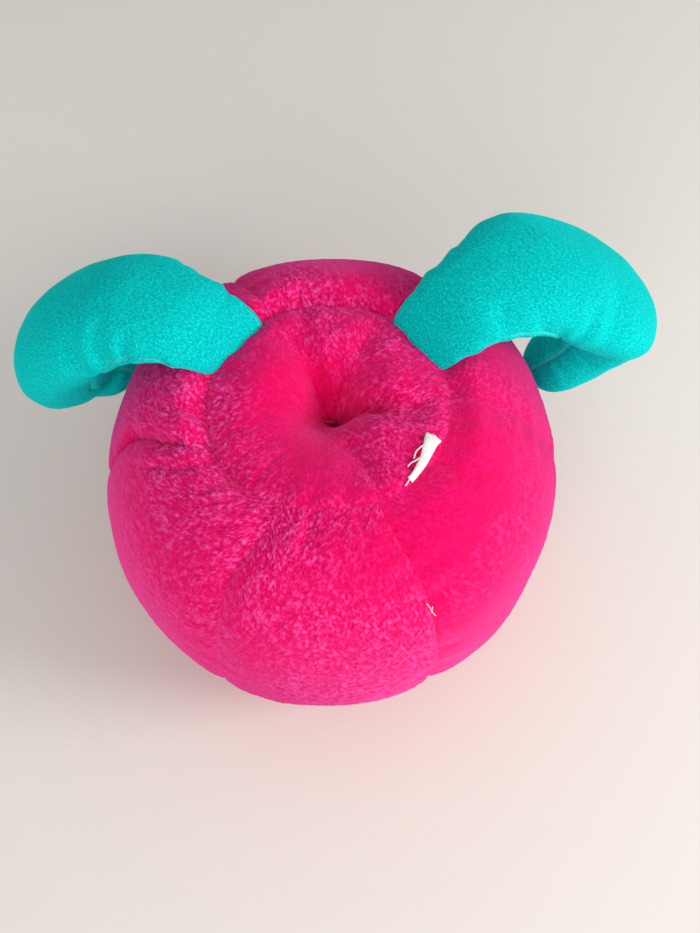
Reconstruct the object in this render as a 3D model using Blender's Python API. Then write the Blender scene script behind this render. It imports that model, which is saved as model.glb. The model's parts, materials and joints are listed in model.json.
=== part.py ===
"""Plush tomato pincushion with two curled, stuffed leaves.

Six padded side panels are sewn between a round top panel and a round bottom panel. A tuft
thread pulls a dimple into the top panel, and is held by an anchor washer under the stuffing.
Each leaf is two panels sewn together and stuffed. It is caught in the top ring seam, which is
its hinge. A short ribbon stub is caught in the same seam.

The origin is the centre of the flat underside, +Z is up, and the front is towards -Y.
Constants are in millimetres and degrees. Meshes are made in metres.
"""

import math

import bmesh
import bpy
import numpy as np

MM = 0.001

# Body: a superellipse turned about Z, squarer below the equator than above it
EQUATOR_R = 50.0
EQUATOR_Z = 37.0
TOP_HEIGHT = 39.0
BOTTOM_HEIGHT = 37.0
TOP_POWER = 2.4
BOTTOM_POWER = 2.8

# Ring seams, where the round panels meet the side panels
TOP_RING_R = 24.7
BOTTOM_RING_R = 24.0
TOP_RING_DROP = 4.9
TOP_RING_SPREAD = 3.6
BOTTOM_RING_LIFT = 1.8
BOTTOM_RING_SPREAD = 2.5
FLAT_R = 19.5

# Dimple in the top panel, a little behind the axis
TOP_PANEL_DROP = 3.2
DIMPLE_DEPTH = 14.8
DIMPLE_R = 8.5
DIMPLE_POWER = 1.4
DIMPLE_Y = 1.7
DIMPLE_SHIFT_R = 12.0

# Side panels: the azimuth of each seam, anticlockwise from +X
SIDE_SEAMS = {
    "front_left": -120.0,
    "front_right": -60.0,
    "right": 0.0,
    "back_right": 60.0,
    "back_left": 120.0,
    "left": 190.0,
}
SIDE_PANELS = (
    ("gore_front", -120.0, -60.0),
    ("gore_front_right", -60.0, 0.0),
    ("gore_back_right", 0.0, 60.0),
    ("gore_back", 60.0, 120.0),
    ("gore_back_left", 120.0, 190.0),
    ("gore_front_left", 190.0, 240.0),
)
SEAM_PINCH = 1.3
SEAM_PINCH_SPREAD = 3.0
LOBE_PINCH = 0.8

# Cloth, thread and the gaps between touching pieces
PLUSH = 1.5
SEAM_GAP = 0.34
CLEARANCE = 0.3
THREAD_R = 0.25
THREAD_DEPTH = PLUSH + 1.5 * CLEARANCE + THREAD_R
STUFFING_DEPTH = THREAD_DEPTH + THREAD_R + 2 * CLEARANCE

# Tuft: a loop of thread down through the stuffing to a washer and a knot
TUFT_THREAD_R = 0.35
TUFT_HALF_SPAN = 1.2
TUFT_LOOP_LIFT = 1.2
TUFT_LOOP_CORNER = 0.4
TUFT_LEG_BELOW_WASHER = 0.1
TUFT_HOLE_R = 0.75
HOLE_REACH = 6.0
STUFFING_HOLE_R = 2.4
STUFFING_HOLE_ROUND = 2.0
WASHER_R = 6.5
WASHER_Z = 4.3
WASHER_THICK = 1.5
KNOT_R = 2.2
KNOT_HALF_HEIGHT = 1.0
RECESS_R = WASHER_R + 0.8

# Leaves: centre line and half sizes (x, y, z, half width, half thickness) from root to tip
LEAF_RIGHT = (
    (19.6, 15.8, 70.2, 8.0, 1.3),
    (23.2, 17.8, 72.8, 9.6, 2.3),
    (30.0, 22.2, 75.2, 11.8, 5.0),
    (43.0, 29.8, 73.0, 16.8, 8.2),
    (57.0, 33.4, 62.2, 18.8, 9.3),
    (64.2, 37.6, 50.0, 14.4, 8.8),
    (62.0, 37.2, 39.6, 10.6, 7.6),
    (55.0, 34.6, 32.4, 8.7, 6.2),
    (48.0, 33.0, 28.6, 6.2, 4.4),
)
LEAF_LEFT = (
    (-20.2, 14.8, 70.8, 7.4, 1.2),
    (-24.2, 16.0, 73.6, 8.6, 2.1),
    (-31.4, 18.0, 75.4, 11.4, 4.6),
    (-42.8, 22.0, 71.0, 14.8, 7.8),
    (-55.5, 24.2, 60.5, 15.6, 9.4),
    (-61.0, 26.2, 48.5, 13.6, 10.0),
    (-57.5, 31.0, 38.5, 9.8, 7.4),
    (-48.0, 32.0, 31.5, 6.5, 4.8),
)
LEAF_WIDTH_AZIMUTH = {"right": (40.0, 22.0), "left": (142.0, 168.0)}
LEAF_CLOTH = 1.1
LEAF_DOME = 6.0
LEAF_STUFFING_START = 7.0
LEAF_STUFFING_SIDE = 2.6
LEAF_STUFFING_FACE = LEAF_CLOTH + 0.7
LEAF_THREAD_INSET = LEAF_CLOTH + 2.1 * CLEARANCE + THREAD_R

# Ribbon stub: centre line and half width (x, y, z, half width), lying along the ring seam
RIBBON = (
    (21.3, -8.2, 70.3, 1.6),
    (20.1, -10.3, 70.6, 2.1),
    (18.6, -14.2, 70.6, 1.3),
    (15.9, -17.9, 70.5, 1.0),
)
RIBBON_SIDE = (0.743, -0.669, 0.0)
RIBBON_THICK = 0.5

# Hand-sewn closing stitches over the bottom ring seam, at the back
CLOSING_FROM = 70.0
CLOSING_TO = 112.0
CLOSING_STITCHES = 12
CLOSING_REACH = 1.7
CLOSING_LIFT = 0.65

# Mesh fineness
PROFILE_POINTS = 1200
UPPER = slice(None, PROFILE_POINTS // 4)
LOWER = slice(PROFILE_POINTS // 2, None)
PANEL_COLUMNS = 8
PANEL_ROWS = 15
ROUND_COLUMNS = 30
RING_THREAD_POINTS = 36
KNOT_COLUMNS = 10
TOP_PANEL_SHARES = (0.08, 0.16, 0.25, 0.36, 0.5, 0.65, 0.8, 0.92, 1.0)
STUFFING_SHARES = (0.0, 0.12, 0.5, 0.88)
LEAF_ROWS = 15
LEAF_COLUMNS = 8
LEAF_THREAD_ROWS = 14
LEAF_STUFFING_ROWS = 11
LEAF_STUFFING_COLUMNS = 12
TIP_ANGLES = (30, 55, 74, 87)


def clear_scene():
    for item in list(bpy.data.objects):
        bpy.data.objects.remove(item, do_unlink=True)


def material(name, colour, roughness):
    made = bpy.data.materials.new(name)
    made.use_nodes = True
    shader = made.node_tree.nodes["Principled BSDF"]
    shader.inputs["Base Color"].default_value = (*colour, 1.0)
    shader.inputs["Roughness"].default_value = roughness
    shader.inputs["Metallic"].default_value = 0.0
    return made


def mesh_object(name, points, faces, look):
    """A closed, outward-facing, smooth mesh object from points in millimetres."""
    mesh = bpy.data.meshes.new(name)
    mesh.from_pydata([tuple(MM * float(c) for c in point) for point in points], [], faces)
    build = bmesh.new()
    build.from_mesh(mesh)
    bmesh.ops.recalc_face_normals(build, faces=build.faces)
    if build.calc_volume(signed=True) < 0:
        bmesh.ops.reverse_faces(build, faces=build.faces)
    build.to_mesh(mesh)
    build.free()
    mesh.shade_smooth()
    mesh.set_sharp_from_angle(angle=math.radians(50))
    made = bpy.data.objects.new(name, mesh)
    made.data.materials.append(look)
    bpy.context.scene.collection.objects.link(made)
    return made


def grid_faces(rows, columns, wrap_rows=False, wrap_columns=False, start=0):
    """Quads over a grid of points that is stored row by row."""
    faces = []
    for row in range(rows if wrap_rows else rows - 1):
        for column in range(columns if wrap_columns else columns - 1):
            down = (row + 1) % rows
            across = (column + 1) % columns
            faces.append((
                start + row * columns + column,
                start + row * columns + across,
                start + down * columns + across,
                start + down * columns + column,
            ))
    return faces


def panel_shell(name, outer, inner, look):
    """A cloth panel: an outer and an inner grid of points, joined around all four edges."""
    rows, columns = outer.shape[:2]
    sections = np.concatenate([outer, inner[:, ::-1]], axis=1)
    around = 2 * columns
    faces = grid_faces(rows, around, wrap_columns=True)
    for first in (0, (rows - 1) * around):
        for column in range(columns - 1):
            back = around - 1 - column
            faces.append((first + column, first + column + 1, first + back - 1, first + back))
    return mesh_object(name, sections.reshape(-1, 3), faces, look)


def turned_solid(name, rings, look, start_pole=None, end_pole=None):
    """Closed rings of points joined in turn, with a pole point at each end, or joined end to end."""
    rings = np.asarray(rings)
    count, columns = rings.shape[:2]
    closed = start_pole is None
    points = list(rings.reshape(-1, 3))
    faces = grid_faces(count, columns, wrap_rows=closed, wrap_columns=True)
    if not closed:
        last = (count - 1) * columns
        points += [start_pole, end_pole]
        for column in range(columns):
            across = (column + 1) % columns
            faces.append((len(points) - 2, across, column))
            faces.append((len(points) - 1, last + column, last + across))
    return mesh_object(name, points, faces, look)


def thread_object(name, points, radius, look, cyclic=False):
    """A round thread along a list of points, with closed ends."""
    curve = bpy.data.curves.new(name, "CURVE")
    curve.dimensions = "3D"
    curve.bevel_depth = radius * MM
    curve.bevel_resolution = 1
    curve.use_fill_caps = not cyclic
    spline = curve.splines.new("POLY")
    spline.points.add(len(points) - 1)
    for target, point in zip(spline.points, points):
        target.co = (*[MM * float(c) for c in point], 1.0)
    spline.use_cyclic_u = cyclic
    made = bpy.data.objects.new(name, curve)
    made.data.materials.append(look)
    bpy.context.scene.collection.objects.link(made)
    return made


def cut_round_holes(target, places, radius, low, high):
    """Cut a vertical round hole through the target at each (x, y) place."""
    for number, (x, y) in enumerate(places):
        mesh = bpy.data.meshes.new(f"{target.name}_hole_{number}")
        build = bmesh.new()
        bmesh.ops.create_cone(
            build, cap_ends=True, segments=10, radius1=radius * MM, radius2=radius * MM,
            depth=(high - low) * MM,
        )
        build.to_mesh(mesh)
        build.free()
        cutter = bpy.data.objects.new(mesh.name, mesh)
        cutter.location = (x * MM, y * MM, 0.5 * (low + high) * MM)
        cutter.hide_render = True
        cutter.display_type = "WIRE"
        bpy.context.scene.collection.objects.link(cutter)
        cut = target.modifiers.new(f"hole_{number}", "BOOLEAN")
        cut.operation = "DIFFERENCE"
        cut.solver = "EXACT"
        cut.object = cutter


class Body:
    """The body's outer surface, as a profile that is pinched in at each side seam."""

    def __init__(self):
        angle = np.linspace(math.pi / 2, -math.pi / 2, PROFILE_POINTS)
        power = np.where(angle > 0, TOP_POWER, BOTTOM_POWER)
        height = np.where(angle > 0, TOP_HEIGHT, BOTTOM_HEIGHT)
        r = EQUATOR_R * np.clip(np.cos(angle), 0, 1) ** (2 / power)
        z = EQUATOR_Z + height * np.sign(angle) * np.abs(np.sin(angle)) ** (2 / power)
        path = self.path_length(r, z)
        top = angle > 0
        self.top_seam = np.interp(TOP_RING_R, r[top], path[top])
        self.bottom_seam = np.interp(-BOTTOM_RING_R, -r[~top], path[~top])
        z = z - self.top_drop(r, path) + self.bottom_lift(r, z, path)
        self.r, self.z = r, z
        self.path = self.path_length(r, z)
        self.top_seam = np.interp(self.top_seam, path, self.path)
        self.bottom_seam = np.interp(self.bottom_seam, path, self.path)
        along_r = np.gradient(r, self.path)
        along_z = np.gradient(z, self.path)
        size = np.hypot(along_r, along_z)
        self.normal_r, self.normal_z = -along_z / size, along_r / size

    @staticmethod
    def path_length(r, z):
        return np.concatenate([[0.0], np.cumsum(np.hypot(np.diff(r), np.diff(z)))])

    def top_drop(self, r, path):
        """How far the top panel and the ring groove lie below the plain superellipse."""
        from_seam = path - self.top_seam
        groove = np.exp(-((from_seam / TOP_RING_SPREAD) ** 2))
        panel = TOP_PANEL_DROP + (TOP_RING_DROP - TOP_PANEL_DROP) * groove
        dimple = DIMPLE_DEPTH * np.exp(-((r / DIMPLE_R) ** DIMPLE_POWER))
        side = TOP_RING_DROP * groove
        return np.where(from_seam < 0, panel + dimple, np.where(path < self.bottom_seam, side, 0.0))

    def bottom_lift(self, r, z, path):
        """How far the bottom ring groove and the flat underside lie above it."""
        groove_top = np.interp(self.bottom_seam, path, z) + BOTTOM_RING_LIFT
        share = np.clip((r - FLAT_R) / (BOTTOM_RING_R - FLAT_R), 0, 1)
        underside = groove_top * share * share * (3 - 2 * share) - z
        side = BOTTOM_RING_LIFT * np.exp(-(((path - self.bottom_seam) / BOTTOM_RING_SPREAD) ** 2))
        return np.where(path > self.bottom_seam, underside, side)

    def pinch(self, azimuth, along, r):
        """How far a side seam and the roundness of its two panels pull the surface in."""
        seams = sorted(value % 360 for value in SIDE_SEAMS.values())
        seams = [seams[-1] - 360, *seams, seams[0] + 360]
        place = azimuth % 360
        after = next(number for number, seam in enumerate(seams) if seam > place)
        low, high = seams[after - 1], seams[after]
        from_seam = math.radians(min(place - low, high - place)) * r
        across = abs(2 * (place - low) / (high - low) - 1)
        fade = np.interp(
            along,
            [self.top_seam, self.top_seam + 8, self.bottom_seam - 8, self.bottom_seam],
            [0.0, 1.0, 1.0, 0.0],
        )
        valley = SEAM_PINCH * math.exp(-((from_seam / SEAM_PINCH_SPREAD) ** 2))
        return fade * (valley + LOBE_PINCH * across**4)

    def point(self, azimuth, along, depth=0.0):
        """The point at an azimuth, a path length from the top centre, and a depth."""
        r, z, out_r, out_z = (
            np.interp(along, self.path, values)
            for values in (self.r, self.z, self.normal_r, self.normal_z)
        )
        inward = depth
        if self.top_seam < along < self.bottom_seam:
            inward += self.pinch(azimuth, along, r)
        r, z = r - inward * out_r, z - inward * out_z
        turn = math.radians(azimuth)
        shift = DIMPLE_Y * math.exp(-((r / DIMPLE_SHIFT_R) ** 2)) if along < self.top_seam else 0.0
        return np.array([r * math.cos(turn), r * math.sin(turn) + shift, z])

    def panel_stations(self):
        """Places down a side panel, from one ring seam to the other."""
        ends = 0.5 * SEAM_GAP
        return np.linspace(self.top_seam + ends, self.bottom_seam - ends, PANEL_ROWS)

    def ring(self, along, depth, azimuths):
        return [self.point(azimuth, along, depth) for azimuth in azimuths]


def even_azimuths(columns):
    return [360.0 * k / columns for k in range(columns)]


def side_panel(body, name, low, high, look):
    """One side panel, from the top ring seam to the bottom one, between two side seams."""
    ends = 0.5 * SEAM_GAP
    spread = 0.5 - 0.5 * np.cos(np.linspace(0, math.pi, PANEL_COLUMNS + 1))
    outer, inner = [], []
    for along in body.panel_stations():
        r = np.interp(along, body.path, body.r)
        edge = math.degrees(ends / r)
        azimuths = low + edge + (high - low - 2 * edge) * spread
        outer.append([body.point(a, along) for a in azimuths])
        inner.append([body.point(a, along, PLUSH) for a in azimuths])
    return panel_shell(name, np.array(outer), np.array(inner), look)


def top_panel(body, look):
    edge = body.top_seam - 0.5 * SEAM_GAP
    stations = edge * np.array(TOP_PANEL_SHARES)
    azimuths = even_azimuths(ROUND_COLUMNS)
    rings = [body.ring(along, 0.0, azimuths) for along in stations]
    rings += [body.ring(along, PLUSH, azimuths) for along in stations[::-1]]
    top, under = body.point(0, 0.0), body.point(0, 0.0, PLUSH)
    made = turned_solid("top_disc", rings, look, top, under)
    legs = [(side * TUFT_HALF_SPAN, DIMPLE_Y) for side in (-1, 1)]
    cut_round_holes(made, legs, TUFT_HOLE_R, top[2] - HOLE_REACH, top[2] + HOLE_REACH)
    return made


def bottom_panel(body, look):
    """The underside: a flat round panel whose rim turns up into the ring seam."""
    end = body.path[-1]
    rim = body.bottom_seam + 0.5 * SEAM_GAP
    flat = np.interp(-FLAT_R, -body.r[LOWER], body.path[LOWER])
    stations = [end - 0.5 * (end - flat), flat, *np.linspace(flat, rim, 5)[1:]]
    azimuths = even_azimuths(ROUND_COLUMNS)
    rings = [body.ring(along, 0.0, azimuths) for along in stations]
    rings += [body.ring(along, PLUSH, azimuths) for along in stations[::-1]]
    return turned_solid(
        "bottom_disc", rings, look, np.array([0.0, 0.0, 0.0]), np.array([0.0, 0.0, PLUSH])
    )


def body_stuffing(body, look):
    """Stuffing under the panels, with a hole for the tuft and a recess for its washer."""
    depth = STUFFING_DEPTH
    hole_top = np.interp(STUFFING_HOLE_R + STUFFING_HOLE_ROUND, body.r[UPPER], body.path[UPPER])
    recess_mouth = RECESS_R + DIMPLE_Y
    low_end = np.interp(-recess_mouth, -body.r[LOWER], body.path[LOWER])
    recess_z = WASHER_Z + WASHER_THICK + CLEARANCE
    along_top = np.linspace(hole_top, body.top_seam, 9)
    along_side = np.linspace(body.top_seam, body.bottom_seam, 12)[1:]
    along_bottom = np.linspace(body.bottom_seam, low_end, 3)[1:]
    azimuths = [
        low + share * (high - low) for _, low, high in SIDE_PANELS for share in STUFFING_SHARES
    ]
    rings = [
        body.ring(along, depth, azimuths) for along in (*along_top, *along_side, *along_bottom)
    ]
    turns = np.radians(azimuths)
    hole_z = body.point(0, 0.0, depth)[2] - CLEARANCE
    for r, z, shift in (
        (RECESS_R, recess_z, DIMPLE_Y),
        (STUFFING_HOLE_R, recess_z, DIMPLE_Y),
        (STUFFING_HOLE_R, 0.5 * (recess_z + hole_z), DIMPLE_Y),
        (STUFFING_HOLE_R, hole_z, DIMPLE_Y),
    ):
        rings.append([(r * math.cos(t), r * math.sin(t) + shift, z) for t in turns])
    return turned_solid("body_stuffing", rings, look)


def tuft(body, thread_look, washer_look):
    """The thread loop that pulls the dimple in, its washer and its knot."""
    surface = body.point(0, 0.0)[2]
    top = surface + TUFT_LOOP_LIFT
    corner = top - TUFT_LOOP_CORNER
    below_panel = surface - HOLE_REACH
    bottom = WASHER_Z - TUFT_LEG_BELOW_WASHER
    span = TUFT_HALF_SPAN
    loop = [
        (-span, DIMPLE_Y, bottom),
        (-span, DIMPLE_Y, below_panel),
        (-span, DIMPLE_Y, corner),
        (-0.6 * span, DIMPLE_Y, top),
        (0.6 * span, DIMPLE_Y, top),
        (span, DIMPLE_Y, corner),
        (span, DIMPLE_Y, below_panel),
        (span, DIMPLE_Y, bottom),
    ]
    thread_object("tuft_thread", loop, TUFT_THREAD_R, thread_look)
    turns = [2 * math.pi * k / ROUND_COLUMNS for k in range(ROUND_COLUMNS)]
    rings = [
        [(WASHER_R * math.cos(t), WASHER_R * math.sin(t) + DIMPLE_Y, z) for t in turns]
        for z in (WASHER_Z, WASHER_Z + WASHER_THICK)
    ]
    washer = turned_solid(
        "tuft_washer", rings, washer_look,
        (0.0, DIMPLE_Y, WASHER_Z), (0.0, DIMPLE_Y, WASHER_Z + WASHER_THICK),
    )
    legs = [(side * span, DIMPLE_Y) for side in (-1, 1)]
    cut_round_holes(washer, legs, TUFT_HOLE_R, WASHER_Z - WASHER_THICK, WASHER_Z + 2 * WASHER_THICK)
    middle = WASHER_Z - CLEARANCE - KNOT_HALF_HEIGHT
    knot_turns = [2 * math.pi * k / KNOT_COLUMNS for k in range(KNOT_COLUMNS)]
    knot = [
        [
            (KNOT_R * math.cos(lift) * math.cos(t),
             KNOT_R * math.cos(lift) * math.sin(t) + DIMPLE_Y,
             middle + KNOT_HALF_HEIGHT * math.sin(lift))
            for t in knot_turns
        ]
        for lift in np.radians([-60, -30, 0, 30, 60])
    ]
    turned_solid(
        "tuft_knot", knot, thread_look,
        (0.0, DIMPLE_Y, middle - KNOT_HALF_HEIGHT), (0.0, DIMPLE_Y, middle + KNOT_HALF_HEIGHT),
    )


def body_threads(body, look):
    """The seam threads of the ring seams and the side seams, just inside the panels."""
    for name, along in (("top", body.top_seam), ("bottom", body.bottom_seam)):
        thread_object(
            f"{name}_ring_thread", body.ring(along, THREAD_DEPTH, even_azimuths(RING_THREAD_POINTS)),
            THREAD_R, look, cyclic=True,
        )
    for name, azimuth in SIDE_SEAMS.items():
        points = [body.point(azimuth, s, THREAD_DEPTH) for s in body.panel_stations()[1:-1]]
        thread_object(f"side_thread_{name}", points, THREAD_R, look)


def closing_stitches(body, look):
    """A zigzag over the bottom ring seam, where the stuffing went in."""
    points = []
    for number in range(2 * CLOSING_STITCHES + 1):
        azimuth = CLOSING_FROM + (CLOSING_TO - CLOSING_FROM) * number / (2 * CLOSING_STITCHES)
        side = CLOSING_REACH if number % 2 else -CLOSING_REACH
        points.append(body.point(azimuth, body.bottom_seam + side, -CLOSING_LIFT))
    thread_object("closing_stitches", points, THREAD_R, look)


def smooth_through(points, per_span=24):
    """A dense Catmull-Rom curve through rows of numbers of any width."""
    rows = np.array(points, dtype=float)
    padded = np.vstack([2 * rows[0] - rows[1], rows, 2 * rows[-1] - rows[-2]])
    result = []
    for k in range(1, len(padded) - 2):
        before, start, end, after = padded[k - 1 : k + 3]
        for t in np.arange(per_span) / per_span:
            result.append(0.5 * (
                2 * start + (end - before) * t
                + (2 * before - 5 * start + 4 * end - after) * t * t
                + (3 * start - before - 3 * end + after) * t**3
            ))
    result.append(rows[-1])
    return np.array(result)


class Leaf:
    """A leaf's centre line, its half sizes along it, and the points around it."""

    def __init__(self, side, stations):
        self.side = side
        dense = smooth_through(stations)
        steps = np.linalg.norm(np.diff(dense[:, :3], axis=0), axis=1)
        self.rows = dense
        self.along = np.concatenate([[0.0], np.cumsum(steps)])
        self.length = self.along[-1]

    def sample(self, along):
        return np.array([np.interp(along, self.along, column) for column in self.rows.T])

    def axes(self, along):
        """The width direction and the outward thickness direction at a place along the leaf."""
        step = 0.5
        ahead = self.sample(min(along + step, self.length))[:3]
        behind = self.sample(max(along - step, 0.0))[:3]
        forward = (ahead - behind) / np.linalg.norm(ahead - behind)
        start, end = LEAF_WIDTH_AZIMUTH[self.side]
        turn = math.radians(start + (end - start) * along / self.length)
        width = np.array([-math.sin(turn), math.cos(turn), 0.0])
        width -= forward * (width @ forward)
        width /= np.linalg.norm(width)
        return width, np.cross(forward, width)

    def section(self, along, angle, side_inset=0.0, face_inset=0.0, end_inset=0.0, lift=0.0):
        """A point of the cross-section at an angle, inset from the surface and from the tip."""
        length = self.length - end_inset
        row = self.sample(along)
        width, outward = self.axes(along)
        past = (along - (length - LEAF_DOME)) / LEAF_DOME
        dome = math.sqrt(max(1 - past * past, 0.0)) if past > 0 else 1.0
        half_width = max(row[3] - side_inset, 0.15) * dome
        half_thick = max(row[4] - face_inset, 0.15) * dome
        across = half_width * math.cos(angle) * width
        out = (half_thick * math.sin(angle) + lift) * outward
        return row[:3] + across + out


def leaf_stations(leaf, start, end_inset, rows):
    """Places along a leaf, closer together on the round tip."""
    length = leaf.length - end_inset
    straight = np.linspace(start, length - LEAF_DOME, rows)
    tip = length - LEAF_DOME + LEAF_DOME * np.sin(np.radians(TIP_ANGLES))
    return [*straight, *tip]


def leaf_pieces(leaf, cloth_look, stuffing_look, thread_look):
    """Two half-tube panels, the seam thread around their edge, and the stuffing inside."""
    name = f"leaf_{leaf.side}"
    outer_places = leaf_stations(leaf, 0.0, 0.0, LEAF_ROWS)
    inner_places = leaf_stations(leaf, 0.0, LEAF_CLOTH, LEAF_ROWS)
    for panel, sign in (("upper", 1), ("lower", -1)):
        angles = sign * np.linspace(0, math.pi, LEAF_COLUMNS)
        lift = sign * 0.5 * SEAM_GAP
        outer = [[leaf.section(s, a, lift=lift) for a in angles] for s in outer_places]
        inner = [
            [leaf.section(s, a, LEAF_CLOTH, LEAF_CLOTH, LEAF_CLOTH, lift) for a in angles]
            for s in inner_places
        ]
        panel_shell(f"{name}_{panel}_panel", np.array(outer), np.array(inner), cloth_look)
    inset = LEAF_THREAD_INSET
    places = leaf_stations(leaf, LEAF_STUFFING_START, inset, LEAF_THREAD_ROWS)
    there = [leaf.section(s, 0.0, inset, inset, inset) for s in places]
    back = [leaf.section(s, math.pi, inset, inset, inset) for s in places[::-1]]
    thread_object(f"{name}_seam_thread", there + back, THREAD_R, thread_look)
    side, face = LEAF_STUFFING_SIDE, LEAF_STUFFING_FACE
    angles = np.linspace(0, 2 * math.pi, LEAF_STUFFING_COLUMNS, endpoint=False)
    places = leaf_stations(leaf, LEAF_STUFFING_START, side, LEAF_STUFFING_ROWS)
    rings = [[leaf.section(s, a, side, face, side) for a in angles] for s in places]
    turned_solid(
        f"{name}_stuffing", rings, stuffing_look,
        leaf.sample(LEAF_STUFFING_START)[:3], leaf.sample(leaf.length - side)[:3],
    )


def ribbon_stub(look):
    """A thin tapered strip, as wide as the ribbon at its root and frayed narrow at its end."""
    side = np.array(RIBBON_SIDE)
    up = np.array([0.0, 0.0, 0.5 * RIBBON_THICK])
    upper, lower = [], []
    for x, y, z, half_width in RIBBON:
        middle = np.array([x, y, z])
        across = [middle + half_width * share * side for share in (-1.0, 0.0, 1.0)]
        upper.append([point + up for point in across])
        lower.append([point - up for point in across])
    return panel_shell("ribbon_stub", np.array(upper), np.array(lower), look)


def main():
    clear_scene()
    pink = material("pink_plush", (0.75, 0.004, 0.09), 0.95)
    pink_thread = material("pink_thread", (0.55, 0.006, 0.08), 0.7)
    green = material("green_cloth", (0.002, 0.48, 0.40), 0.9)
    green_thread = material("green_thread", (0.004, 0.30, 0.26), 0.7)
    white = material("white_stuffing", (0.85, 0.84, 0.80), 1.0)
    felt = material("felt_washer", (0.70, 0.68, 0.62), 0.95)
    ribbon = material("white_ribbon", (0.88, 0.86, 0.80), 0.6)

    body = Body()
    top_panel(body, pink)
    bottom_panel(body, pink)
    for name, low, high in SIDE_PANELS:
        side_panel(body, name, low, high, pink)
    body_stuffing(body, white)
    tuft(body, pink_thread, felt)
    body_threads(body, pink_thread)
    closing_stitches(body, pink_thread)
    for side, stations in (("right", LEAF_RIGHT), ("left", LEAF_LEFT)):
        leaf_pieces(Leaf(side, stations), green, white, green_thread)
    ribbon_stub(ribbon)


main()
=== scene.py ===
"""Looks of the plush tomato pincushion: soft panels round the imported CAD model, which is the frame.

The body is one surface, cut into a top panel, six side panels and a bottom panel. A cloth
simulation blows it up a little between its seams, and then each panel gets its pile: combed
strands that are raised on a fine mesh. The leaves are made the same way from two panels each.
Lengths are in millimetres and angles in degrees, until an object is made in metres.
"""

import json
import math

import bmesh
import bpy
import numpy as np
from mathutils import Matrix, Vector


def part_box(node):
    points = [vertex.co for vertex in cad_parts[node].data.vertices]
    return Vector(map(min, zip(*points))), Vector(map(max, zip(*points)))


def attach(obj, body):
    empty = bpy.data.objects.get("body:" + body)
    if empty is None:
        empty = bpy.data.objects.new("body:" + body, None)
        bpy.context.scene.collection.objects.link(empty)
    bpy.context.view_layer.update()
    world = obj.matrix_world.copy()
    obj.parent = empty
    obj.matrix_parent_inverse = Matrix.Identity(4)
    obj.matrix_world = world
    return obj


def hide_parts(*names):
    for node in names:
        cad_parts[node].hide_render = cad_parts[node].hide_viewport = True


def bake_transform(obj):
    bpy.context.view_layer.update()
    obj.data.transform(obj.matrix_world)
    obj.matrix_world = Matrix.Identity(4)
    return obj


MM = 0.001
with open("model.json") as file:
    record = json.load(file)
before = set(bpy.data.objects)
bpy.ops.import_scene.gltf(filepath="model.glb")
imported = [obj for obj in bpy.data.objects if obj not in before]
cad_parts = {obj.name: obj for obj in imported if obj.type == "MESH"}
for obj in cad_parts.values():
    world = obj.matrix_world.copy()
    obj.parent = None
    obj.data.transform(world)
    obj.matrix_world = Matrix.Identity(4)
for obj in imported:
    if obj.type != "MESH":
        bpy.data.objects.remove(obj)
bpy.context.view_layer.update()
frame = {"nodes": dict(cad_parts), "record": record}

# ------------------------------------------------------------------ sizes

# The body's profile, as part.py turns it
EQUATOR_R = -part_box("gore_front")[0].y / MM
EQUATOR_Z = 37.0
TOP_HEIGHT, BOTTOM_HEIGHT = 39.0, 37.0
TOP_POWER, BOTTOM_POWER = 2.4, 2.8
TOP_RING_R, BOTTOM_RING_R = 24.7, 24.0
TOP_RING_DROP, TOP_RING_SPREAD = 4.9, 3.6
BOTTOM_RING_LIFT, BOTTOM_RING_SPREAD = 1.8, 2.5
FLAT_R = 19.5
CLOTH = 1.5
PILE_TIPS = 0.6

# How much the filling presses the top ring seam up: azimuth, height, spread in degrees
RING_LIFTS = ((-90.0, 3.9, 42.0), (-20.0, 2.6, 36.0), (90.0, 1.2, 25.0), (165.0, 1.2, 18.0))
RAISED_PANEL_SPREAD = 9.0

# The dimple, and the folds that run out from it: azimuth, depth, width, start and end radius
DIMPLE = (0.0, 1.7)
PANEL_DROP = 3.2
DIMPLE_DEPTH, DIMPLE_R, DIMPLE_POWER = 14.8, 8.5, 1.4
FOLDS = (
    (-8.0, 3.6, 1.3, -1.5, 15.0),
    (-12.0, 1.7, 1.6, 7.0, 23.5),
    (15.0, -1.6, 4.0, 3.0, 20.0),
    (-38.0, -1.3, 3.5, 3.0, 19.0),
    (117.0, 2.0, 1.7, 1.0, 22.0),
    (60.0, 1.3, 1.2, 10.0, 25.0),
    (-67.0, 1.6, 1.8, 9.0, 25.0),
    (165.0, -1.6, 6.0, 4.0, 21.0),
    (88.0, -0.7, 4.5, 6.0, 21.0),
)

# Side seams: azimuth, depth and width of the valley, depth of the crease in it, where it levels off,
# and how far the seam swings round at the top ring and lower down
SEAMS = (
    (-120, 0.8, 3.8, 0.25, 45.0, 8.0, 2.0),
    (-60, 0.5, 3.4, 0.35, 80.0, -7.0, -3.0),
    (0, 0.2, 3.0, 0.05, 60.0, 0.0, 0.0),
    (60, 0.5, 3.0, 0.4, 60.0, 0.0, 0.0),
    (120, 0.5, 3.0, 0.4, 60.0, 0.0, 0.0),
    (190, 1.5, 1.6, 0.7, 21.0, 11.0, -5.0),
)
SWING_REACH = (0.0, 22.0)
SEAM_FADE = 8.0  # stretch over which a valley begins, ends or levels off
SEAM_LEVELLED = 0.65  # share of its depth that a valley loses where it levels off
GORES = (
    "gore_front", "gore_front_right", "gore_back_right",
    "gore_back", "gore_back_left", "gore_front_left",
)
LOBE_PINCH = 0.25
CREASE_SPREAD = 0.8
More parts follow.
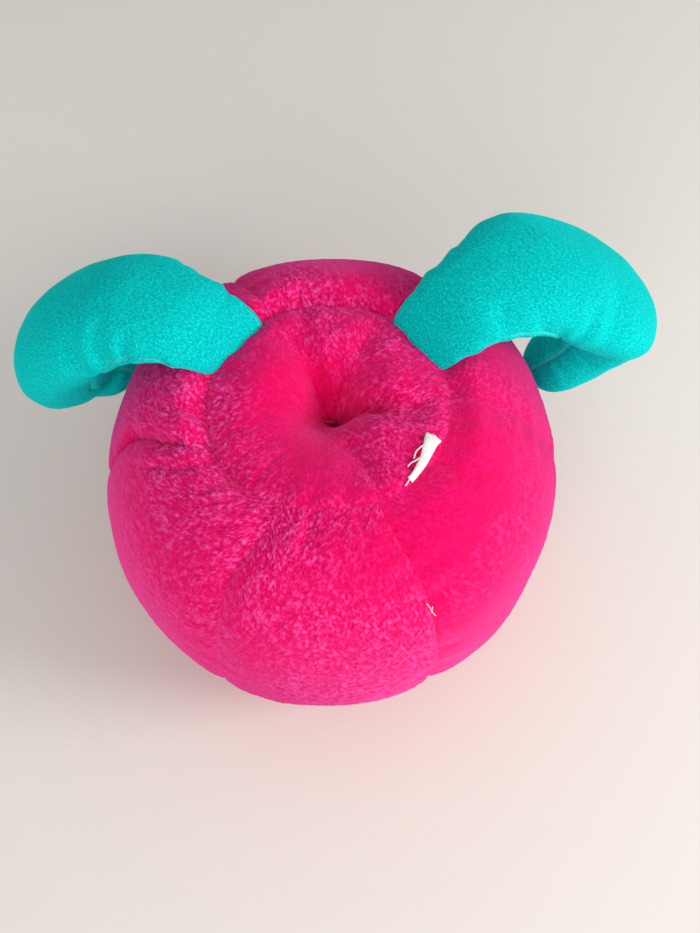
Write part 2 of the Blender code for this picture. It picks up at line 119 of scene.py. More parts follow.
# Where the top ring seam is creased: azimuth, depth, spread in degrees
RING_CREASES = ((100.0, 0.7, 35.0), (180.0, 0.45, 30.0), (-140.0, 0.2, 20.0))
BOTTOM_CREASE = 0.6
# Puckers along the seams between side panels, and along the top ring seam
SEAM_PUCKER, RING_PUCKER = 0.3, 0.35
FOLD_START = 4.0  # stretch over which a fold begins
# Soft folds in the side panels: azimuth, first and last distance from the ring, depth, width
SIDE_FOLDS = (
    (200.0, 1.0, 22.0, 0.9, 1.6),
    (177.0, 0.0, 14.0, 0.6, 1.4),
    (-100.0, 0.0, 12.0, 0.5, 1.5),
    (-74.0, 0.0, 10.0, 0.6, 1.6),
    (104.0, 0.0, 9.0, 0.9, 1.3),
    (72.0, 0.0, 8.0, 0.7, 1.2),
)

# Leaves: centre line and half sizes (x, y, z, half width, half thickness); the first row is sewn in
LEAVES = {
    "right": (
        (16.8, 13.6, 66.2, 7.6, 0.9),
        (19.6, 15.8, 69.6, 8.4, 1.5),
        (23.2, 17.8, 72.8, 9.9, 2.4),
        (30.0, 22.2, 75.2, 11.8, 5.2),
        (43.0, 29.8, 73.0, 16.8, 8.4),
        (57.0, 33.4, 62.2, 18.8, 9.5),
        (64.2, 37.6, 50.0, 14.4, 9.0),
        (62.0, 37.2, 39.6, 10.6, 7.8),
        (55.0, 34.6, 32.4, 8.7, 6.4),
        (48.0, 33.0, 28.6, 6.2, 4.6),
    ),
    "left": (
        (-17.4, 12.8, 66.2, 7.6, 0.9),
        (-20.4, 14.8, 69.6, 8.4, 1.5),
        (-24.4, 15.6, 72.8, 9.7, 2.4),
        (-31.4, 17.8, 74.8, 11.6, 5.0),
        (-42.8, 22.0, 71.0, 14.8, 8.0),
        (-55.5, 24.2, 60.5, 15.6, 9.6),
        (-61.0, 26.2, 48.5, 13.6, 10.2),
        (-57.5, 31.0, 38.5, 9.8, 7.6),
        (-48.0, 32.0, 31.5, 6.5, 5.0),
    ),
}
LEAF_WIDTH_AZIMUTH = {"right": (40.0, 22.0), "left": (142.0, 168.0)}
LEAF_DOME = 6.0
LEAF_CLOTH = 1.1
LEAF_EDGE = 3.0  # width of the strip beside a seam edge that gets a painted highlight
# How far a leaf's front seam turns under it, in degrees, and the stretch along it where that begins
SEAM_TURN = {"right": (76.0, 16.0, 50.0), "left": (65.0, 14.0, 46.0)}
# Dents in a leaf's upper panel: place along it, angle round it, depth, length along, angle across
LEAF_DENTS = {
    "right": ((14.0, 150, 1.0, 1.8, 26), (41.0, 116, 1.7, 2.8, 24), (35.0, 132, 0.9, 1.7, 20)),
    "left": ((24.0, 30, 1.2, 2.2, 32), (32.0, 50, 1.2, 2.2, 26), (18.0, 12, 0.7, 1.6, 22)),
}

# Mesh fineness: simulated columns in a side panel, rows down it, and how much finer the seen mesh is
COLUMNS, ROWS, FINER = 24, 52, 7
LEAF_COLUMNS, LEAF_ROWS = 18, 46
LEAF_ROW_SWEEP = math.pi / 2 * 0.86  # rows lie like sines up to this angle, so they are closer at the tip
LEAF_END_GAP = 0.02

# ------------------------------------------------------------------ numbers


def srgb(red, green, blue):
    """A colour given as 0 to 255 on a screen, as linear light."""
    shares = (red / 255, green / 255, blue / 255)
    return tuple(((c + 0.055) / 1.055) ** 2.4 if c > 0.04045 else c / 12.92 for c in shares)


def noise(points, seed):
    """Smooth noise, from -1 to 1, with one lattice cell to a unit."""
    points = np.asarray(points, float)
    cell = np.floor(points).astype(np.int64)
    part = points - cell
    part = part * part * (3 - 2 * part)
    total = np.zeros(points.shape[:-1])
    for corner in np.ndindex(*(2,) * points.shape[-1]):
        key = (cell + np.array(corner)) * np.array([73856093, 19349663, 83492791])[: points.shape[-1]]
        mixed = (np.bitwise_xor.reduce(key, axis=-1) + seed * 668265263) & 0xFFFFFFFF
        mixed = ((mixed ^ (mixed >> 15)) * 2246822519) & 0xFFFFFFFF
        mixed = ((mixed ^ (mixed >> 13)) * 3266489917) & 0xFFFFFFFF
        value = ((mixed ^ (mixed >> 16)) & 0xFFFF) / 32767.5 - 1
        total += value * np.prod(np.where(np.array(corner) == 1, part, 1 - part), axis=-1)
    return total


def bell(distance, spread):
    return np.exp(-((distance / spread) ** 2))


def ramp(value, low, high):
    """0 below low, 1 above high, and smooth between."""
    share = np.clip((value - low) / (high - low), 0, 1)
    return share * share * (3 - 2 * share)


def beside_seam(distance, height, reach):
    """A pucker's height: nothing at the seam, its full height at a reach from it, and less beyond."""
    return height * (distance / reach) * np.exp(1 - distance / reach)


def bunched(share, amount):
    """Moves even shares from 0 to 1 towards both ends."""
    return share - amount * np.sin(2 * np.pi * share) / (2 * np.pi)


def upsample(grid, finer, axis, wraps):
    """A grid of points made finer along one axis, through its own points."""
    grid = np.moveaxis(grid, axis, 0)
    count = len(grid)
    steps = np.arange((count if wraps else count - 1) * finer + (0 if wraps else 1)) / finer
    base = np.floor(steps).astype(int)
    t = (steps - base).reshape(-1, *[1] * (grid.ndim - 1))
    pick = (lambda k: grid[k % count]) if wraps else (lambda k: grid[np.clip(k, 0, count - 1)])
    before, start, end, after = (pick(base + k) for k in (-1, 0, 1, 2))
    made = 0.5 * (
        2 * start + (end - before) * t
        + (2 * before - 5 * start + 4 * end - after) * t * t
        + (3 * start - before - 3 * end + after) * t**3
    )
    return np.moveaxis(made, 0, axis)


def grid_normals(grid, wraps=False):
    """Unit normals of a grid of points, on the side where row x column points."""
    if wraps:
        padded = np.concatenate([grid[:, -1:], grid, grid[:, :1]], axis=1)
        down = np.gradient(padded, axis=0)[:, 1:-1]
        across = np.gradient(padded, axis=1)[:, 1:-1]
    else:
        down, across = np.gradient(grid, axis=0), np.gradient(grid, axis=1)
    normal = np.cross(down, across)
    return normal / np.maximum(np.linalg.norm(normal, axis=-1, keepdims=True), 1e-9)


def streaks(size, cell, angle, length, grain, seed):
    """Combed strands on a flat chart: random grain drawn out along a direction field.

    size is the chart's width and height, and angle gives the direction at chart points.
    """
    random = np.random.default_rng(seed)
    columns, rows = (int(math.ceil(side / cell)) + 1 for side in size)
    field = random.standard_normal((rows, columns))
    reach = max(int(round(grain / cell)) // 2, 0)
    for axis in (0, 1):
        field = sum(np.roll(field, k, axis) for k in range(-reach, reach + 1))
    y, x = np.meshgrid(np.arange(rows) * cell, np.arange(columns) * cell, indexing="ij")
    total = field.copy()
    steps = int(round(length / cell))
    for way in (1, -1):
        px, py = x.copy(), y.copy()
        for step in range(1, steps):
            turn = angle(px, py)
            px = px + way * cell * np.cos(turn)
            py = py + way * cell * np.sin(turn)
            total += (1 - step / steps) * lookup(field, cell, px, py)
    return (total - total.mean()) / total.std()


def lookup(field, cell, x, y):
    """The value of a raster between its cells."""
    rows, columns = field.shape
    gx, gy = np.clip(x / cell, 0, columns - 1.001), np.clip(y / cell, 0, rows - 1.001)
    ix, iy = gx.astype(int), gy.astype(int)
    fx, fy = gx - ix, gy - iy
    top = field[iy, ix] * (1 - fx) + field[iy, ix + 1] * fx
    low = field[iy + 1, ix] * (1 - fx) + field[iy + 1, ix + 1] * fx
    return top * (1 - fy) + low * fy


# ------------------------------------------------------------------ the body's surface


class Tomato:
    """The body's surface under the pile: a profile, seam valleys, a dimple with folds."""

    def __init__(self):
        angle = np.linspace(math.pi / 2, -math.pi / 2, 2400)
        power = np.where(angle > 0, TOP_POWER, BOTTOM_POWER)
        height = np.where(angle > 0, TOP_HEIGHT, BOTTOM_HEIGHT)
        r = EQUATOR_R * np.clip(np.cos(angle), 0, 1) ** (2 / power)
        z = EQUATOR_Z + height * np.sign(angle) * np.abs(np.sin(angle)) ** (2 / power)
        path = self.lengths(r, z)
        top = angle > 0
        self.plain_r, self.plain_z = r[top], z[top]
        ring = np.interp(TOP_RING_R, r[top], path[top])
        low_ring = np.interp(-BOTTOM_RING_R, -r[~top], path[~top])
        side = (path >= ring) & (path <= low_ring)
        r, z, path = r[side], z[side], path[side]
        z = z - TOP_RING_DROP * bell(path - ring, TOP_RING_SPREAD)
        z = z + BOTTOM_RING_LIFT * bell(path - low_ring, BOTTOM_RING_SPREAD)
        self.r, self.z, self.path = r, z, self.lengths(r, z)
        self.length = self.path[-1]
        along_r, along_z = np.gradient(r, self.path), np.gradient(z, self.path)
        size = np.hypot(along_r, along_z)
        self.normal_r, self.normal_z = -along_z / size, along_r / size

    @staticmethod
    def lengths(r, z):
        return np.concatenate([[0.0], np.cumsum(np.hypot(np.diff(r), np.diff(z)))])

    def seam_distance(self, azimuth, r):
        """Distance to the nearest side seam, that seam's number, and the place across the panel."""
        edges = np.array([seam[0] for seam in SEAMS] + [SEAMS[0][0] + 360.0])
        place = (azimuth - edges[0]) % 360 + edges[0]
        panel = np.clip(np.searchsorted(edges, place, side="right") - 1, 0, len(SEAMS) - 1)
        low, high = edges[panel], edges[panel + 1]
        nearest = np.where(place - low < high - place, panel, (panel + 1) % len(SEAMS))
        distance = np.radians(np.minimum(place - low, high - place)) * r
        return distance, nearest, 2 * (place - low) / (high - low) - 1

    @staticmethod
    def swing(azimuth, along):
        """How far round from their even places the points at a distance from the top ring lie."""
        edges = [seam[0] for seam in SEAMS]
        at_ring, lower = ([seam[k] for seam in SEAMS] for k in (5, 6))
        share = ramp(along, *SWING_REACH)
        at_ring, lower = (np.interp(azimuth, edges, values, period=360) for values in (at_ring, lower))
        return at_ring * (1 - share) + lower * share

    @staticmethod
    def round_the_ring(azimuth, humps):
        """A value round the top ring seam, given as humps: azimuth, height, spread in degrees."""
        off = [(azimuth - place + 180) % 360 - 180 for place, _, _ in humps]
        return sum(height * bell(gap, spread) for gap, (_, height, spread) in zip(off, humps))

    def ring_crease(self, azimuth, distance):
        """The depth of the sharp crease along the top ring seam."""
        crease = self.round_the_ring(azimuth, RING_CREASES)
        crease = crease * (1 + 0.6 * noise(np.stack([azimuth / 5.0, 0 * azimuth], -1), 14))
        return crease * bell(distance, CREASE_SPREAD)

    def side(self, azimuth, along):
        """Points of the side panels, at azimuths and distances down from the top ring seam."""
        r, z, out_r, out_z = (
            np.interp(along, self.path, v) for v in (self.r, self.z, self.normal_r, self.normal_z)
        )
        distance, nearest, across = self.seam_distance(azimuth, r)
        by_seam = np.array([seam[1:5] for seam in SEAMS], float)[nearest]
        depths, spreads, creases, reaches = np.moveaxis(by_seam, -1, 0)
        ends = np.minimum(along, self.length - along)
        fade = ramp(ends, 0, SEAM_FADE)
        level = 1 - SEAM_LEVELLED * ramp(along, reaches - SEAM_FADE, reaches + SEAM_FADE)
        inward = fade * level * depths * bell(distance, spreads)
        inward += fade * LOBE_PINCH * np.abs(across) ** 4
        pucker = 1 + 0.5 * noise(np.stack([along / 4.0, nearest * 5.0], -1), 15)
        inward += fade * level * creases * pucker * bell(distance, CREASE_SPREAD)
        waves = noise(np.stack([along / 3.2, nearest * 7.0], -1), 11)
        inward += fade * beside_seam(distance, SEAM_PUCKER, 2.5) * waves
        waves = noise(np.stack([azimuth / 7.0, 0 * azimuth], -1), 12)
        inward += beside_seam(along, RING_PUCKER, 3.0) * waves
        for place, start, end, depth, width in SIDE_FOLDS:
            off = np.radians((azimuth - place + 180) % 360 - 180) * r
            span = ramp(along, start, start + FOLD_START) * (1 - ramp(along, end - 9, end))
            inward += depth * span * bell(off, width)
        at_ring = azimuth + self.swing(azimuth, 0)
        z = z + self.round_the_ring(at_ring, RING_LIFTS) * bell(along, TOP_RING_SPREAD)
        z = z - self.ring_crease(at_ring, along) + BOTTOM_CREASE * bell(self.length - along, CREASE_SPREAD)
        r, z = r - inward * out_r, z - inward * out_z
        turn = np.radians(azimuth + self.swing(azimuth, along))
        return self.uneven(np.stack([r * np.cos(turn), r * np.sin(turn), z], -1))

    def top(self, azimuth, r):
        """Points of the top panel, with the dimple and the folds that it pulls."""
        azimuth = azimuth + self.swing(azimuth, 0) * ramp(r, 0.3 * TOP_RING_R, TOP_RING_R)
        turn = np.radians(azimuth)
        x, y = r * np.cos(turn), r * np.sin(turn)
        z = np.interp(r, self.plain_r, self.plain_z)
        in_from_ring = TOP_RING_R - r
        beyond = TOP_RING_DROP - self.round_the_ring(azimuth, RING_LIFTS) - PANEL_DROP
        z = z - PANEL_DROP - np.maximum(beyond, 0) * bell(in_from_ring, TOP_RING_SPREAD)
        z = z - np.minimum(beyond, 0) * bell(in_from_ring, RAISED_PANEL_SPREAD)
        dx, dy = x - DIMPLE[0], y - DIMPLE[1]
        pull = DIMPLE_DEPTH * np.exp(-((np.hypot(dx, dy) / DIMPLE_R) ** DIMPLE_POWER))
        z = z - pull * ramp(in_from_ring, 0, 6)
        for fold_azimuth, depth, width, start, end in FOLDS:
            way = math.radians(fold_azimuth)
            out = dx * math.cos(way) + dy * math.sin(way)
            off = dy * math.cos(way) - dx * math.sin(way)
            span = ramp(out, start, start + FOLD_START) * (1 - ramp(out, end - 8, end))
            z = z - depth * span * bell(off, width + 0.1 * np.abs(out)) * ramp(in_from_ring, 0, 4)
        waves = noise(np.stack([azimuth / 8.0, 0 * azimuth], -1), 13)
        z = z - beside_seam(in_from_ring, RING_PUCKER, 2.5) * waves
        z = z - self.ring_crease(azimuth, in_from_ring)
        return self.uneven(np.stack([x, y, z], -1))

    def bottom(self, azimuth, r):
        """Points of the bottom panel: flat, with a rim that turns up into its seam."""
        swing = self.swing(azimuth, SWING_REACH[1]) * ramp(r, 0.3 * BOTTOM_RING_R, BOTTOM_RING_R)
        turn = np.radians(azimuth + swing)
        z = PILE_TIPS + (self.z[-1] + BOTTOM_CREASE - PILE_TIPS) * ramp(r, FLAT_R, BOTTOM_RING_R)
        return self.uneven(np.stack([r * np.cos(turn), r * np.sin(turn), z], -1))

    @staticmethod
    def uneven(points):
        """The slight unevenness of hand-filled stuffing, and none of it where the body rests."""
        middle = np.array([0.0, 0.0, EQUATOR_Z])
        out = points - middle
        out = out / np.linalg.norm(out, axis=-1, keepdims=True)
        amount = 0.9 * noise(points / 27.0, 1) + 0.35 * noise(points / 11.0, 2)
        return points + out * (amount * ramp(points[..., 2], 3, 14))[..., None]


# ------------------------------------------------------------------ grids of the body's panels


def side_azimuths(finer):
    """Azimuths round the whole body: the same count in each panel, closer together at its seams."""
    count = COLUMNS * finer
    share = bunched(np.arange(count) / count, 0.45)
    edges = [seam[0] for seam in SEAMS] + [SEAMS[0][0] + 360.0]
    return np.concatenate([low + (high - low) * share for low, high in zip(edges, edges[1:])])


def disc_chart(finer):
    """A square grid laid over a round panel: the azimuth and the share of the radius at each point,
    and for each point of its rim the column of the side grid that it meets."""
    around = side_azimuths(finer)
    total = len(around)
    cells = total // 4
    line = 2 * np.arange(cells + 1) / cells - 1
    v, u = np.meshgrid(line, line, indexing="ij")
    reach = np.maximum(np.abs(u), np.abs(v))
    safe = np.maximum(reach, 1e-9)
    a, b = u / safe, v / safe
    half = cells / 2
    on_low, on_right, on_high = (np.abs(b + 1) < 1e-9), (np.abs(a - 1) < 1e-9), (np.abs(b - 1) < 1e-9)
    place = np.where(
        on_low, (a + 1) * half,
        np.where(on_right, cells + (b + 1) * half,
                 np.where(on_high, 2 * cells + (1 - a) * half, 3 * cells + (1 - b) * half)),
    )
    place = place % total
    looped = np.append(around, around[0] + 360)
    azimuth = np.interp(place, np.arange(total + 1), looped)
    column = np.rint(place).astype(int) % total
    return azimuth, reach, column


def rim_mask(shape):
    mask = np.zeros(shape, bool)
    mask[0], mask[-1], mask[:, 0], mask[:, -1] = True, True, True, True
    return mask


class BodyGrid:
    """The body's surface at one fineness: a wrapped side grid and two square disc grids."""

    def __init__(self, tomato, finer):
        self.azimuths = side_azimuths(finer)
        share = bunched(np.arange(ROWS * finer + 1) / (ROWS * finer), 0.35)
        self.along = tomato.length * share
        azimuth, along = np.meshgrid(self.azimuths, self.along)
        self.side = tomato.side(azimuth, along)
        azimuth, reach, self.column = disc_chart(finer)
        self.top = tomato.top(azimuth, TOP_RING_R * reach)
        self.bottom = tomato.bottom(azimuth, BOTTOM_RING_R * reach)
        self.rim = rim_mask(reach.shape)
        self.meet()

    def meet(self):
        """Puts the rims of the round panels exactly on the side grid's ends."""
        self.top[self.rim] = self.side[0][self.column[self.rim]]
        self.bottom[self.rim] = self.side[-1][self.column[self.rim]]

    def normals(self):
        """Outward unit normals of the three grids, alike where the grids meet."""
        side = grid_normals(self.side, wraps=True)
        top, bottom = -grid_normals(self.top), grid_normals(self.bottom)
        for disc, row in ((top, 0), (bottom, -1)):
            shared = disc[self.rim] + side[row][self.column[self.rim]]
            disc[self.rim] = shared
            side[row][self.column[self.rim]] = shared
        return [
            n / np.maximum(np.linalg.norm(n, axis=-1, keepdims=True), 1e-9) for n in (side, top, bottom)
        ]

    def moved(self, coarse, delta_side, delta_top, delta_bottom):
        """Adds movements known on a coarser grid."""
        factor = len(self.azimuths) // len(coarse.azimuths)
        self.side += upsample(upsample(delta_side, factor, 1, True), factor, 0, False)
        self.top += upsample(upsample(delta_top, factor, 1, False), factor, 0, False)
        self.bottom += upsample(upsample(delta_bottom, factor, 1, False), factor, 0, False)
        self.meet()


# ------------------------------------------------------------------ cloth simulation

SIM_SCALE = 10.0  # the cloth solver is steadier on a metre-sized shape
MAX_MOVE = 3.0
SETTLED = 0.35  # share of the simulated move that the worn-in filling keeps


def blown_up(points, faces, held, stretch, pressure, frames):
    """Runs cloth with pressure on a closed mesh whose held points stay, and returns how far each moved.

    stretch is how much larger the cloth is cut than the shape, so that it puckers along held seams.
    """
    mesh = bpy.data.meshes.new("simulated")
    mesh.from_pydata((points * MM * SIM_SCALE).tolist(), [], faces)
    mesh.update()
    shape = bpy.data.objects.new("simulated", mesh)
    bpy.context.scene.collection.objects.link(shape)
    build = bmesh.new()
    build.from_mesh(mesh)
    bmesh.ops.recalc_face_normals(build, faces=build.faces)
    build.to_mesh(mesh)
    build.free()
    group = shape.vertex_groups.new(name="held")
    group.add([int(k) for k in np.flatnonzero(held)], 1.0, "REPLACE")
    cloth = shape.modifiers.new("cloth", "CLOTH").settings
    cloth.quality = 6
    cloth.mass = 0.3
    cloth.tension_stiffness = cloth.compression_stiffness = 20
    cloth.shear_stiffness = 10
    cloth.bending_stiffness = 0.6
    cloth.air_damping = 4
    cloth.shrink_min = -stretch
    cloth.vertex_group_mass = "held"
    cloth.pin_stiffness = 1
    cloth.use_pressure = True
    cloth.uniform_pressure_force = pressure
    cloth.effector_weights.gravity = 0
    scene = bpy.context.scene
    for number in range(1, frames + 1):
        scene.frame_set(number)
    dg = bpy.context.evaluated_depsgraph_get()
    result = shape.evaluated_get(dg).to_mesh()
    moved = np.empty(len(points) * 3)
    result.vertices.foreach_get("co", moved)
    moved = moved.reshape(-1, 3) / (MM * SIM_SCALE) - points
    scene.frame_set(1)
    bpy.data.objects.remove(shape)
    size = np.linalg.norm(moved, axis=1, keepdims=True)
    return moved * SETTLED * np.minimum(1, MAX_MOVE / np.maximum(size, 1e-9))


def quads(ids):
    """Quads over a grid of point numbers."""
    return np.stack([ids[:-1, :-1], ids[:-1, 1:], ids[1:, 1:], ids[1:, :-1]], -1).reshape(-1, 4)


def simulate_body(coarse):
    """Blows the coarse body up between its held seams. Returns the moves of its three grids."""
    rows, columns = coarse.side.shape[:2]
    side_ids = np.arange(rows * columns).reshape(rows, columns)
    points = [coarse.side.reshape(-1, 3)]
    start = rows * columns
    disc_ids = []
    for disc, row in ((coarse.top, 0), (coarse.bottom, rows - 1)):
        ids = np.empty(coarse.rim.shape, int)
        ids[coarse.rim] = side_ids[row][coarse.column[coarse.rim]]
        inner = ~coarse.rim
        ids[inner] = start + np.arange(inner.sum())
        start += int(inner.sum())
        points.append(disc[inner])
        disc_ids.append(ids)
    points = np.concatenate(points)
    wrapped = np.concatenate([side_ids, side_ids[:, :1]], axis=1)
    faces = np.concatenate([quads(wrapped), quads(disc_ids[0]), quads(disc_ids[1])[:, ::-1]])
    held = np.zeros(len(points), bool)
    held[side_ids[[0, -1]].ravel()] = True
    held[side_ids[:, ::COLUMNS].ravel()] = True
    held[disc_ids[1].ravel()] = True
    near = np.hypot(points[:, 0] - DIMPLE[0], points[:, 1] - DIMPLE[1]) < 3.0
    held |= near & (points[:, 2] > EQUATOR_Z)
    moved = blown_up(points, faces.tolist(), held, stretch=0.02, pressure=2.0, frames=16)
    return moved[side_ids], moved[disc_ids[0]], moved[disc_ids[1]]


# ------------------------------------------------------------------ meshes


def rim_order(shape):
    """The grid's rim as (row, column) pairs, once round."""
    rows, columns = shape
    return (
        [(0, c) for c in range(columns - 1)]
        + [(r, columns - 1) for r in range(rows - 1)]
        + [(rows - 1, c) for c in range(columns - 1, 0, -1)]
        + [(r, 0) for r in range(rows - 1, 0, -1)]
    )


def closed_panel(name, fine, coarse_inner, factor, attributes, chart, look):
    """A panel of cloth as one closed mesh: a fine outer face, a coarse inner one, and a rim between."""
    fine_shape, inner_shape = fine.shape[:2], coarse_inner.shape[:2]
    fine_ids = np.arange(fine_shape[0] * fine_shape[1]).reshape(fine_shape)
    inner_ids = fine_ids.size + np.arange(inner_shape[0] * inner_shape[1]).reshape(inner_shape)
    faces = quads(fine_ids)[:, ::-1].tolist() + quads(inner_ids).tolist()
    fine_rim = [int(fine_ids[place]) for place in rim_order(fine_shape)]
    inner_rim = [int(inner_ids[place]) for place in rim_order(inner_shape)]
    for number, near in enumerate(inner_rim):
        far = inner_rim[(number + 1) % len(inner_rim)]
        run = [fine_rim[(number * factor + k) % len(fine_rim)] for k in range(factor + 1)]
        middle = (factor + 1) // 2
        for k in range(factor):
            faces.append((run[k], run[k + 1], near if k < middle else far))
        faces.append((run[middle], far, near))
    points = np.concatenate([fine.reshape(-1, 3), coarse_inner.reshape(-1, 3)])
    mesh = bpy.data.meshes.new(name)
    mesh.from_pydata((points * MM).tolist(), [], faces)
    for key, values in attributes.items():
        layer = mesh.attributes.new(key, "FLOAT", "POINT")
        both_sides = np.append(values.ravel(), np.zeros(inner_ids.size))
        layer.data.foreach_set("value", both_sides.astype(np.float32))
    flat = np.concatenate([chart.reshape(-1, 2), np.zeros((inner_ids.size, 2))])
    corner = np.empty(len(mesh.loops), np.int32)
    mesh.loops.foreach_get("vertex_index", corner)
    mesh.uv_layers.new(name="chart").data.foreach_set("uv", flat[corner].ravel().astype(np.float32))
    mesh.shade_smooth()
    mesh.materials.append(look)
    made = bpy.data.objects.new(name, mesh)
    bpy.context.scene.collection.objects.link(made)
    return made


# ------------------------------------------------------------------ pile

# The pile's lay in each panel's chart, in degrees, and how shaggy it is; the top panel's runs outwards
PILE = {
    "top_disc": (None, 0.45),
    "gore_front": (100.0, 0.5),
    "gore_front_right": (90.0, 0.12),
    "gore_back_right": (95.0, 0.2),
    "gore_back": (88.0, 0.35),
    "gore_back_left": (65.0, 0.5),
    "gore_front_left": (122.0, 0.55),
    "bottom_disc": (270.0, 0.2),
}
# Where the pile is brushed up (above 0) or lies flat (below 0): place, reach, how much
BRUSHED = (
    ((-9.0, 3.0, 64.0), 9.5, -0.9),
    ((-4.0, -13.0, 67.0), 8.0, -0.5),
    ((-21.0, 1.0, 69.0), 5.5, 0.7),
    ((-2.0, 16.0, 68.0), 7.0, 0.35),
    ((15.0, 13.0, 68.0), 8.0, 0.5),
    ((12.0, -9.0, 66.0), 7.5, 0.5),
    ((-26.0, -13.0, 69.0), 11.0, 0.6),
    ((-31.0, 3.0, 67.0), 8.0, 0.6),
    ((-48.0, -8.0, 42.0), 20.0, -0.6),
    ((-28.0, -38.0, 42.0), 16.0, -0.3),
    ((-8.0, -28.0, 69.0), 9.0, 0.5),
    ((12.0, -32.0, 64.0), 10.0, -0.35),
    ((2.0, -47.0, 42.0), 19.0, 0.42),
    ((44.0, -22.0, 38.0), 15.0, 0.35),
    ((-4.0, 29.0, 70.0), 9.0, 0.6),
    ((4.0, 44.0, 56.0), 14.0, -0.35),
)
PILE_CELL = 0.2
SHAG_HEIGHT = 0.30
PILE_LIFT = 0.3


def brushed(points):
    """How much the pile is brushed up at points of the body."""
    return sum(
        amount * bell(np.linalg.norm(points - place, axis=-1), reach) for place, reach, amount in BRUSHED
    )


def pile(name, points, chart, edge, seed):
    """Heights of the pile over a panel's chart, with shares for a painted shade in the gaps between strands and a
    painted sheen on their tips; edge is the distance to its rim.
    """
    comb, shaggy = PILE[name]
    low = chart.reshape(-1, 2).min(0) - 1
    size = chart.reshape(-1, 2).max(0) + 1 - low
    x, y = chart[..., 0] - low[0], chart[..., 1] - low[1]

    def angle(px, py):
        places = np.stack([px, py], -1)
        lay = np.arctan2(py + low[1] - DIMPLE[1], px + low[0]) if comb is None else math.radians(comb)
        return lay + 0.6 * noise(places / 13.0, seed) + 0.5 * noise(places / 4.0, seed + 1)

    coarse = lookup(streaks(size, PILE_CELL, angle, 0.7, 0.4, seed + 2), PILE_CELL, x, y)
    fine = lookup(streaks(size, PILE_CELL, angle, 0.42, 0.0, seed + 3), PILE_CELL, x, y)
    places = np.stack([x, y], -1)
    patches = noise(places / 12.0, seed + 4) + 0.6 * noise(places / 5.0, seed + 5)
    shag = np.clip(shaggy + brushed(points) + 0.22 * patches, 0.04, 1.0)
    strands = np.clip(0.4 * coarse + 0.7 * fine, -1.8, 1.8)
    height = 0.5 * SHAG_HEIGHT * strands * (0.2 + 0.8 * shag)
    height += 0.14 * shag * noise(places / 1.3, seed + 6)
    height = PILE_LIFT + height * ramp(edge, 0.0, 0.5)
    # painted light: high on raised strands, which get a paler painted sheen, and low in the gaps, which get a
    # darker painted shade
    strand_light_and_shade = np.clip(0.5 + 0.27 * strands, 0, 1)
    return height, strand_light_and_shade, shag


def chart_edge(fine):
    """Distance from each grid point to the rim, along the rows and columns."""
    down = np.linalg.norm(np.diff(fine, axis=0), axis=-1)
    across = np.linalg.norm(np.diff(fine, axis=1), axis=-1)
    from_top = np.concatenate([np.zeros((1, fine.shape[1])), np.cumsum(down, 0)])
    from_left = np.concatenate([np.zeros((fine.shape[0], 1)), np.cumsum(across, 1)], axis=1)
    rows = np.minimum(from_top, from_top[-1:] - from_top)
    columns = np.minimum(from_left, from_left[:, -1:] - from_left)
    return np.minimum(rows, columns)


def plush_panel(name, fine, coarse, chart, seed, look):
    """One body panel, with its pile raised on it, as the piece that replaces a CAD panel.

    fine and coarse are each a grid of points and the outward normals at them.
    """
    (outer, outward), (inner, inner_outward) = fine, coarse
    height, strand_light_and_shade, shag = pile(name, outer, chart, chart_edge(outer), seed)
    outer = outer + outward * height[..., None]
    inner = inner - inner_outward * CLOTH
    order = 1 if (grid_normals(outer) * outward).sum() > 0 else -1
    made = closed_panel(
        f"plush_{name}", outer[:, ::-order], inner[:, ::-order], FINER,
        {"strand_light_and_shade": strand_light_and_shade[:, ::-order], "shag": shag[:, ::-order]}, chart[:, ::-order], look,
    )
    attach(made, "cushion")
    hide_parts(name)
    return made


def gore_part(grid, finer, number, values):
    """The columns of one side panel, out of values on the whole side grid."""
    first = number * COLUMNS * finer
    return values[:, np.arange(first, first + COLUMNS * finer + 1) % grid.side.shape[1]]


def gore_chart(tomato, fine, number):
    """Flat coordinates of a side panel: distance from its middle line, and distance from the top ring."""
    edges = [seam[0] for seam in SEAMS] + [SEAMS[0][0] + 360]
    low, high = edges[number], edges[number + 1]
    columns = np.append(fine.azimuths[number * COLUMNS * FINER:(number + 1) * COLUMNS * FINER], high)
    radii = np.interp(fine.along, tomato.path, tomato.r)
    across = np.radians(columns - 0.5 * (low + high))[None, :] * radii[:, None]
    return np.stack([across, np.broadcast_to(fine.along[:, None], across.shape)], -1)


def build_body(look):
    """All eight panels of the body. Returns the points of its upper surface."""
    tomato = Tomato()
    coarse, fine = BodyGrid(tomato, 1), BodyGrid(tomato, FINER)
    moves = simulate_body(coarse)
    fine.moved(coarse, *moves)
    coarse.moved(coarse, *moves)
    fine_out, coarse_out = fine.normals(), coarse.normals()
    for number, name in enumerate(GORES):
        fine_part = [gore_part(fine, FINER, number, values) for values in (fine.side, fine_out[0])]
        coarse_part = [gore_part(coarse, 1, number, values) for values in (coarse.side, coarse_out[0])]
        plush_panel(name, fine_part, coarse_part, gore_chart(tomato, fine, number), 100 + 20 * number, look)
    plush_panel("top_disc", (fine.top, fine_out[1]), (coarse.top, coarse_out[1]), fine.top[..., :2], 300, look)
    plush_panel(
        "bottom_disc", (fine.bottom, fine_out[2]), (coarse.bottom, coarse_out[2]), fine.bottom[..., :2], 330, look
    )
    surface = np.concatenate([fine.top.reshape(-1, 3), fine.side.reshape(-1, 3)])
    return surface[surface[:, 2] > EQUATOR_Z]


# ------------------------------------------------------------------ leaves


